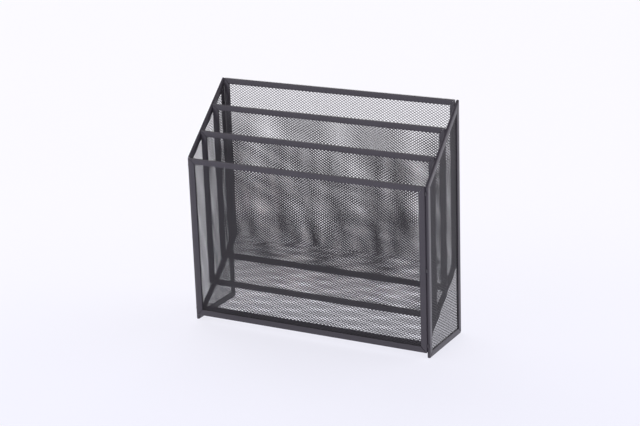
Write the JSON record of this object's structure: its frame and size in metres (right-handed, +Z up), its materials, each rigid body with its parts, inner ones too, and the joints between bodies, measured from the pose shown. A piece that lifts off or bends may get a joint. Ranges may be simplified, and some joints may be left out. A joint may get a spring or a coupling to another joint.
{
  "type": "magazine holder",
  "caption": "Free-standing desk holder of black steel mesh with upright pockets that step up towards the back, for magazines, brochures and papers.",
  "frame": {"origin": "on the desk under the middle of the holder's footprint", "axes": "+X to the right as seen from the front, +Y towards the back, +Z up"},
  "size_m": [0.36, 0.103, 0.325],
  "materials": {
    "rail": "black powder coat, satin, folded steel strip",
    "mesh": "black powder coat on expanded steel mesh",
    "weld": "black powder coat over small welds"
  },
  "bodies": {
    "root": {"left_side_mesh": "mesh", "left_side_bottom_rail": "rail", "left_side_back_rail": "rail", "left_side_top_rail": "rail", "left_side_front_rail": "rail", "right_side_mesh": "mesh", "right_side_bottom_rail": "rail", "right_side_back_rail": "rail", "right_side_top_rail": "rail", "right_side_front_rail": "rail", "front_panel_mesh": "mesh", "front_panel_bottom_rail": "rail", "front_panel_right_rail": "rail", "front_panel_top_rail": "rail", "front_panel_left_rail": "rail", "front_divider_mesh": "mesh", "front_divider_bottom_rail": "rail", "front_divider_right_rail": "rail", "front_divider_top_rail": "rail", "front_divider_left_rail": "rail", "rear_divider_mesh": "mesh", "rear_divider_bottom_rail": "rail", "rear_divider_right_rail": "rail", "rear_divider_top_rail": "rail", "rear_divider_left_rail": "rail", "back_panel_mesh": "mesh", "back_panel_top_rail": "rail", "back_panel_left_rail": "rail", "back_panel_right_rail": "rail", "floor_mesh": "mesh", "floor_front_rail": "rail", "front_panel_weld_low_left": "weld", "front_panel_weld_low_right": "weld", "front_panel_weld_middle_left": "weld", "front_panel_weld_middle_right": "weld", "front_panel_weld_high_left": "weld", "front_panel_weld_high_right": "weld", "front_divider_weld_low_left": "weld", "front_divider_weld_low_right": "weld", "front_divider_weld_high_left": "weld", "front_divider_weld_high_right": "weld", "rear_divider_weld_low_left": "weld", "rear_divider_weld_low_right": "weld", "rear_divider_weld_high_left": "weld", "rear_divider_weld_high_right": "weld", "back_panel_weld_low_left": "weld", "back_panel_weld_low_right": "weld", "back_panel_weld_high_left": "weld", "back_panel_weld_high_right": "weld", "floor_weld_left": "weld", "floor_weld_right": "weld"}
  },
  "joints": []
}
